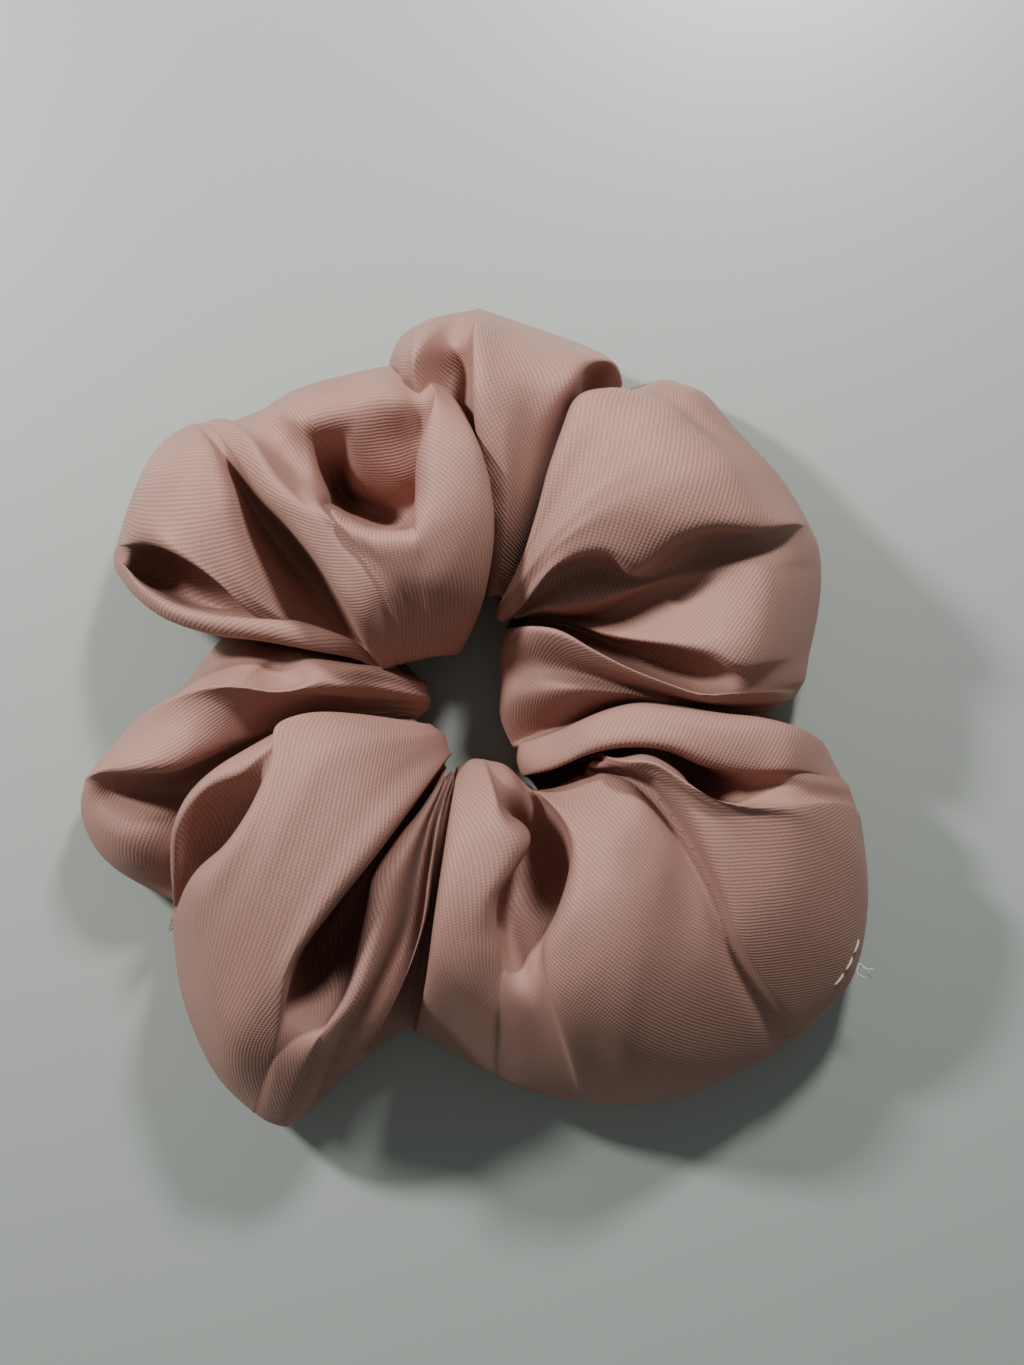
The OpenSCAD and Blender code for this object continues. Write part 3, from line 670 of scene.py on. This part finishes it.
def bend(ob, share):
    """Bakes the piece's transform and works out smoothed weights from share, how far along each point is; the
    weights are not applied, so the piece does not follow any body.
    """
    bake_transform(ob)
    w = np.clip(share, 0, 1)
    w = w * w * (3 - 2 * w)


# the cover's eight puffs, from the cross seam round to the cross seam
BODIES = ["cover_end_right", "cover_gather_4", "cover_gather_3", "cover_gather_2", "cover_gather_1",
          "cover_gather_5", "cover_gather_6", "cover_gather_7", "cover_end_left"]
PUFFS = ["seam_puff_right", "middle_puff", "upper_right_puff", "top_puff", "tongue_puff",
         "upper_left_puff", "left_puff", "seam_puff_left"]
cuts = [0] + [round(g * NU) for g in gaps] + [NU]
UNDER = 0.78                     # where the cloth's coordinates start, on the underside


def lay_flat(ob):
    """The cloth's own u and v in millimetres: the piece unrolled with the least stretch, v running outwards."""
    me = ob.data
    start = round(UNDER * NV)
    bpy.context.view_layer.objects.active = ob
    ob.select_set(True)
    for e in me.edges:
        a, b = e.vertices
        e.use_seam = a % NV == start and b % NV == start
    bpy.ops.object.mode_set(mode="EDIT")
    bpy.ops.mesh.select_all(action="SELECT")
    bpy.ops.uv.unwrap(method="MINIMUM_STRETCH", iterations=12, fill_holes=False, no_flip=False, margin=0)
    bpy.ops.object.mode_set(mode="OBJECT")
    ob.select_set(False)
    uv = np.empty(len(me.loops) * 2)
    me.uv_layers["cloth"].data.foreach_get("uv", uv)
    uv = uv.reshape(-1, 4, 2)
    co = np.empty(len(me.vertices) * 3)
    me.vertices.foreach_get("co", co)
    co = co.reshape(-1, 3) / MM
    corner = np.empty(len(me.loops), int)
    me.loops.foreach_get("vertex_index", corner)
    p = co[corner].reshape(-1, 4, 3)
    # each face's corners are (i, j), (i + 1, j), (i + 1, j + 1), (i, j + 1)
    along = (uv[:, 3] - uv[:, 0]).sum(0)
    scale = (np.linalg.norm(p[:, 3] - p[:, 0], axis=1).sum()
             / np.linalg.norm(uv[:, 3] - uv[:, 0], axis=1).sum())
    along /= np.linalg.norm(along)
    turn = np.array([[along[1], -along[0]], [along[0], along[1]]])
    uv = (uv - uv.mean((0, 1))) @ turn.T * scale / UV_UNIT
    me.uv_layers["cloth"].data.foreach_set("uv", uv.astype(np.float32).ravel())


du, dv = LENGTH / NU, ROUND / NV
for k, name in enumerate(PUFFS):
    i0, i1 = cuts[k], cuts[k + 1]
    rows = np.arange(i0, i1 + 1) % NU
    part = grid[rows]
    n = len(rows)
    faces, coords = [], []
    for i in range(n - 1):
        for j in range(NV):
            q = (j + 1) % NV
            faces.append((i * NV + j, (i + 1) * NV + j, (i + 1) * NV + q, i * NV + q))
            u, v = (i0 + i) * LENGTH / NU, j * ROUND / NV
            coords += [(u, v), (u + du, v), (u + du, v + dv), (u, v + dv)]
    if outward < 0:
        faces = [f[::-1] for f in faces]
        coords = np.array(coords).reshape(-1, 4, 2)[:, ::-1].reshape(-1, 2)
    ob = piece("cover_" + name, part.reshape(-1, 3), faces, coords, SATIN)
    lay_flat(ob)
    me = ob.data
    me.normals_split_custom_set_from_vertices(facing[rows].reshape(-1, 3).tolist())
    share = np.repeat(np.arange(n) / (n - 1), NV)
    bend(ob, share)
    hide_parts(*(BODIES[:2] if k == 0 else BODIES[k + 1:k + 2]))

# ---------------------------------------------------------------- the elastic
BAND_W, BAND_T, LAP = 6.0, 1.2, 12.0     # its width, its thickness and how far its ends overlap, mm
BAND_ROWS, BAND_SIDES = 24, 24
ZIG_WIDE, ZIG_RISE, ZIG_R = 1.0, 0.9, 0.16


def heading(node):
    """The direction in which a node lies, seen from the middle of the ring."""
    low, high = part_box(node)
    return math.atan2(low[1] + high[1], low[0] + high[0])


gather_at = np.array([heading(body) for body in BODIES])
gather_at[[0, -1]] = gather_at[[0, -1]].mean()     # the cross seam lies between the cover's two ends
gather_at = np.unwrap(gather_at)
if gather_at[-1] - gather_at[0] < 1:
    gather_at[-1] += 2 * np.pi


def band(name, a0, a1, radius, rows=BAND_ROWS):
    """A flat elastic band standing on edge round the ring, its corners rounded."""
    turn = np.arange(BAND_SIDES) / BAND_SIDES * 2 * np.pi
    section = np.stack([np.sign(np.cos(turn)) * np.abs(np.cos(turn)) ** 0.5 * BAND_T / 2,
                        np.sign(np.sin(turn)) * np.abs(np.sin(turn)) ** 0.4 * BAND_W / 2], 1)
    around = run_along(np.concatenate([section, section[:1]]))
    a = np.linspace(a0, a1, rows)
    pts = np.array([[((radius + d) * math.cos(t), (radius + d) * math.sin(t), RING_Z + h) for d, h in section]
                    for t in a])
    faces, coords = [], []
    for i in range(rows - 1):
        for j in range(BAND_SIDES):
            q = (j + 1) % BAND_SIDES
            this, after = i * BAND_SIDES, (i + 1) * BAND_SIDES
            faces.append((this + j, after + j, after + q, this + q))
            coords += [(a[i] * radius, around[j]), (a[i + 1] * radius, around[j]),
                       (a[i + 1] * radius, around[j + 1]), (a[i] * radius, around[j + 1])]
    return piece(name, pts.reshape(-1, 3), faces, coords, BRAID), pts


for k in range(len(PUFFS)):
    ob, pts = band(f"elastic_span_{k + 1}", gather_at[k], gather_at[k + 1], RING_R)
    share = np.repeat(np.arange(BAND_ROWS) / (BAND_ROWS - 1), BAND_SIDES)
    bend(ob, share)
    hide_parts("elastic_band")
root = gather_at[BODIES.index("cover_gather_1")]
lap, _ = band("elastic_lap", root - LAP / 2 / RING_R, root + LAP / 2 / RING_R, RING_R + BAND_T + 0.05, 12)
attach(lap, "cover_gather_1")
zig = []
r = RING_R + BAND_T * 1.5 + 0.12
for end in (-1, 1):
    for n in range(-3, 3):
        half = ZIG_WIDE / 2 if n % 2 else -ZIG_WIDE / 2
        a = root + (end * LAP * 0.32 + half) / RING_R
        b = root + (end * LAP * 0.32 - half) / RING_R
        zig.append([(r * math.cos(a + (b - a) * s), r * math.sin(a + (b - a) * s), RING_Z + (n + s) * ZIG_RISE)
                    for s in (0, 0.5, 1)])
join = threads("elastic_zigzag", zig, ZIG_R, PALE)
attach(join, "cover_gather_1")
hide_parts("elastic_join_stitches")

# ---------------------------------------------------------------- the seams' threads
STITCH, THREAD_R = 2.7, 0.13     # the stitches' pitch and the thread's radius, mm
LADDER_HALF = 0.26               # half of the distance that the cross seam's stitches bridge, mm
PALE_R, TAIL_R = 0.17, 0.1       # the topstitching's thread and the loose one, mm


def on_cloth(i, j, lift):
    """A point on the cloth between grid rows, lifted off its face."""
    i0, j0 = int(math.floor(i)), int(math.floor(j))
    s, t = i - i0, j - j0
    p = n = 0
    for di, dj, w in ((0, 0, (1 - s) * (1 - t)), (1, 0, s * (1 - t)), (0, 1, (1 - s) * t), (1, 1, s * t)):
        p = p + w * grid[(i0 + di) % NU, (j0 + dj) % NV]
        n = n + w * facing[(i0 + di) % NU, (j0 + dj) % NV]
    return p + n * lift


# the long seam, in a piece for each puff
for k, name in enumerate(PUFFS):
    i0, i1 = cuts[k], cuts[k + 1]
    j = LONG_SEAM_V * NV
    line = np.array([on_cloth(i, j, 0) for i in range(i0, i1 + 1)])
    run = run_along(line)
    count = max(2, round(run[-1] / STITCH))
    paths, shares = [], []
    for n in range(count):
        at = np.interp((n + np.array([0.12, 0.3, 0.5, 0.7, 0.88])) / count * run[-1], run, np.arange(i0, i1 + 1))
        paths.append([on_cloth(a, j, h) for a, h in zip(at, (-0.1, 0.08, 0.1, 0.08, -0.1))])
        shares += list(np.repeat((at - i0) / (i1 - i0), 6))
    ob = threads("long_seam_" + name, paths, THREAD_R * 0.8, THREAD, 6)
    bend(ob, np.array(shares))
    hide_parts("long_seam_thread")

# the cross seam: slanting stitches across the join of the tube's two ends
run = run_along(np.concatenate([grid[0], grid[0][:1]]))
count = round(run[-1] / STITCH)
wide = LADDER_HALF * NU / LENGTH
ladder = []
for n in range(count):
    j = np.interp((n + 0.5) / count * run[-1], run, np.arange(NV + 1))
    jj = np.interp((n + 0.5) / count * run[-1] + 0.35, run, np.arange(NV + 1))
    ladder.append([on_cloth(s * wide, j + (jj - j) * (s + 1) / 2, h) for s, h in
                   ((-1.3, -0.22), (-0.8, -0.04), (0, 0), (0.8, -0.04), (1.3, -0.22))])
ob = threads("cross_seam_ladder", ladder, THREAD_R * 0.75, THREAD)
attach(ob, "cover_end_right")
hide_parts("cross_seam_stitches")


def seen_at(x, y):
    """The grid place that shows at x, y from above, in mm as drawn in the loops."""
    q = grid.copy()
    q[..., :2] = seen_from_eye(q[..., :2], q[..., 2:], DRAWN_Z)
    far = np.hypot(q[..., 0] - x, q[..., 1] - y) + np.where(facing[..., 2] > 0.1, 0, 50) - 0.02 * q[..., 2]
    return np.unravel_index(np.argmin(far), far.shape)


# long stitches close the turning gap, just inside the right edge
needle = np.linspace(seen_at(54, -30.2), seen_at(50.6, -37.2), 4)
top = []
for a, b in zip(needle, needle[1:]):
    top.append([on_cloth(*(a + (b - a) * s), h) for s, h in
                ((0.06, -0.15), (0.25, 0.1), (0.5, 0.13), (0.75, 0.1), (0.94, -0.15))])
ob = threads("topstitching_pale", top, PALE_R, PALE)
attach(ob, "cover_end_right")
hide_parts("topstitching")

# the loose ends of thread beside them: each a direction and a length, slightly wavy
root_at = on_cloth(*seen_at(53.8, -34.6), -0.3)
tails = []
for n, (dx, dy, dz, length) in enumerate([(0.8, -0.5, -0.1, 3.4), (1.0, -0.15, 0.15, 2.8), (0.5, -0.9, 0.05, 2.6)]):
    d = np.array((dx, dy, dz)) / math.sqrt(dx * dx + dy * dy + dz * dz)
    tails.append([root_at + d * length * s
                  + np.array((0.35 * math.sin(5 * s + n), 0.3 * math.sin(4 * s + 2 * n), 0.5 * s * s * (n - 1)))
                  for s in np.linspace(0, 1, 9)])
ob = threads("loose_thread_tail", tails, TAIL_R, TAIL, 6)
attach(ob, "cover_end_right")
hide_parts("loose_thread_ends")

# ---------------------------------------------------------------- floor and light
bpy.ops.mesh.primitive_plane_add(size=3)
floor = bpy.context.object
floor.name = "floor"
fm = bpy.data.materials.new("floor")
fm.use_nodes = True
fb = fm.node_tree.nodes["Principled BSDF"]
fb.inputs["Base Color"].default_value = (0.37, 0.40, 0.365, 1)
fb.inputs["Specular IOR Level"].default_value = 1.0
fb.inputs["Roughness"].default_value = 0.38
floor.data.materials.append(fm)


def area_light(name, direction, distance, size, watts):
    """A round lamp in the given direction from the origin, facing it; lengths in metres."""
    d = Vector(direction).normalized()
    lamp = bpy.data.lights.new(name, "AREA")
    lamp.shape = "DISK"
    lamp.size = size
    lamp.energy = watts
    ob = bpy.data.objects.new(name, lamp)
    ob.location = d * distance
    ob.rotation_euler = d.to_track_quat("Z", "Y").to_euler()
    scene.collection.objects.link(ob)


area_light("key", (-1, 0.7, 1), 0.44, 0.05, 1.95)
area_light("second", (0.3, 0.95, 1), 0.38, 0.05, 1.25)
world = scene.world or bpy.data.worlds.new("world")
scene.world = world
world.use_nodes = True
background = world.node_tree.nodes["Background"]
background.inputs["Color"].default_value = (0.85, 0.9, 0.88, 1)
background.inputs["Strength"].default_value = 0.19
